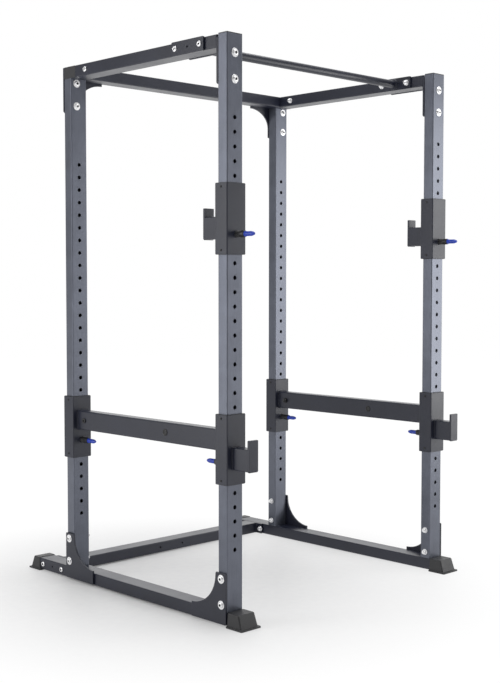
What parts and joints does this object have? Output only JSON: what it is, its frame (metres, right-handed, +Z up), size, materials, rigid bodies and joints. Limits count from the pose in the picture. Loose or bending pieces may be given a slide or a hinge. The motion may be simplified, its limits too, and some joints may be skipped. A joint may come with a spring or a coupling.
{
  "type": "power cage",
  "caption": "Free-standing weight-training cage of drilled rectangular tube, with sliding bar hooks, sliding spotter arms, sprung pull pins and a pull-up bar.",
  "frame": {"origin": "on the floor, under the centre of the bounding box", "axes": "+Z up; the open front of the cage faces -Y; +X is to the right for someone looking in from the front"},
  "size_m": [1.2756, 1.332, 2.088],
  "materials": {
    "upright_grey": "metallic grey powder coat, satin",
    "satin_black": "satin black powder coat, fine orange peel",
    "moulded_black": "moulded, fine grain",
    "liner_black": "smooth, low friction",
    "bright_zinc": "bright zinc plate",
    "housing_black": "black oxide, satin",
    "grip_blue": "moulded blue, semi-gloss"
  },
  "bodies": {
    "frame": {"front_left_upright": "upright_grey", "front_left_base_gusset": "satin_black", "front_left_foot": "moulded_black", "rear_left_upright": "upright_grey", "rear_left_base_gusset": "satin_black", "rear_left_foot": "moulded_black", "front_left_upright_cap": "moulded_black", "left_base_rail": "satin_black", "left_top_rail": "satin_black", "left_top_gusset": "satin_black", "left_bar_backing_plate": "satin_black", "left_bar_bolt_front": "bright_zinc", "left_bar_bolt_rear": "bright_zinc", "front_right_upright": "upright_grey", "front_right_base_gusset": "satin_black", "front_right_foot": "moulded_black", "rear_right_upright": "upright_grey", "rear_right_base_gusset": "satin_black", "rear_right_foot": "moulded_black", "front_right_upright_cap": "moulded_black", "right_base_rail": "satin_black", "right_top_rail": "satin_black", "right_top_gusset": "satin_black", "right_bar_backing_plate": "satin_black", "right_bar_bolt_front": "bright_zinc", "right_bar_bolt_rear": "bright_zinc", "rear_base_cross_member": "satin_black", "rear_top_cross_member": "satin_black", "pull_up_bar": "satin_black"},
    "left_hook_carriage": {"left_hook_sleeve": "satin_black", "left_hook_liner": "liner_black", "left_hook_pin_housing": "housing_black", "left_hook_bracket": "satin_black"},
    "left_hook_pin": {"left_hook_pull_pin": "grip_blue"},
    "left_spotter": {"left_spotter_front_sleeve": "satin_black", "left_spotter_front_liner": "liner_black", "left_spotter_front_pin_housing": "housing_black", "left_spotter_rear_sleeve": "satin_black", "left_spotter_rear_liner": "liner_black", "left_spotter_rear_pin_housing": "housing_black", "left_spotter_hook": "satin_black", "left_spotter_arm": "satin_black"},
    "left_spotter_front_pin": {"left_spotter_front_pull_pin": "grip_blue"},
    "left_spotter_rear_pin": {"left_spotter_rear_pull_pin": "grip_blue"},
    "right_hook_carriage": {"right_hook_sleeve": "satin_black", "right_hook_liner": "liner_black", "right_hook_pin_housing": "housing_black", "right_hook_bracket": "satin_black"},
    "right_hook_pin": {"right_hook_pull_pin": "grip_blue"},
    "right_spotter": {"right_spotter_front_sleeve": "satin_black", "right_spotter_front_liner": "liner_black", "right_spotter_front_pin_housing": "housing_black", "right_spotter_rear_sleeve": "satin_black", "right_spotter_rear_liner": "liner_black", "right_spotter_rear_pin_housing": "housing_black", "right_spotter_hook": "satin_black", "right_spotter_arm": "satin_black"},
    "right_spotter_front_pin": {"right_spotter_front_pull_pin": "grip_blue"},
    "right_spotter_rear_pin": {"right_spotter_rear_pull_pin": "grip_blue"}
  },
  "joints": [
    {"name": "left_hook_height", "type": "slide", "parent": "frame", "child": "left_hook_carriage", "axis": [0, 0, 1], "range_m": [-0.254, 0.3048]},
    {"name": "left_hook_pin_pull", "type": "slide", "parent": "left_hook_carriage", "child": "left_hook_pin", "axis": [0, -1, 0], "range_m": [0, 0.022], "stiffness_N_per_m": 700, "springref_m": -0.015},
    {"name": "left_spotter_height", "type": "slide", "parent": "frame", "child": "left_spotter", "axis": [0, 0, 1], "range_m": [-0.3048, 0.3048]},
    {"name": "left_spotter_front_pin_pull", "type": "slide", "parent": "left_spotter", "child": "left_spotter_front_pin", "axis": [0, 1, 0], "range_m": [0, 0.022], "stiffness_N_per_m": 700, "springref_m": -0.015},
    {"name": "left_spotter_rear_pin_pull", "type": "slide", "parent": "left_spotter", "child": "left_spotter_rear_pin", "axis": [0, -1, 0], "range_m": [0, 0.022], "stiffness_N_per_m": 700, "springref_m": -0.015},
    {"name": "right_hook_height", "type": "slide", "parent": "frame", "child": "right_hook_carriage", "axis": [0, 0, 1], "range_m": [-0.254, 0.3048]},
    {"name": "right_hook_pin_pull", "type": "slide", "parent": "right_hook_carriage", "child": "right_hook_pin", "axis": [0, -1, 0], "range_m": [0, 0.022], "stiffness_N_per_m": 700, "springref_m": -0.015},
    {"name": "right_spotter_height", "type": "slide", "parent": "frame", "child": "right_spotter", "axis": [0, 0, 1], "range_m": [-0.3048, 0.3048]},
    {"name": "right_spotter_front_pin_pull", "type": "slide", "parent": "right_spotter", "child": "right_spotter_front_pin", "axis": [0, 1, 0], "range_m": [0, 0.022], "stiffness_N_per_m": 700, "springref_m": -0.015},
    {"name": "right_spotter_rear_pin_pull", "type": "slide", "parent": "right_spotter", "child": "right_spotter_rear_pin", "axis": [0, -1, 0], "range_m": [0, 0.022], "stiffness_N_per_m": 700, "springref_m": -0.015}
  ]
}
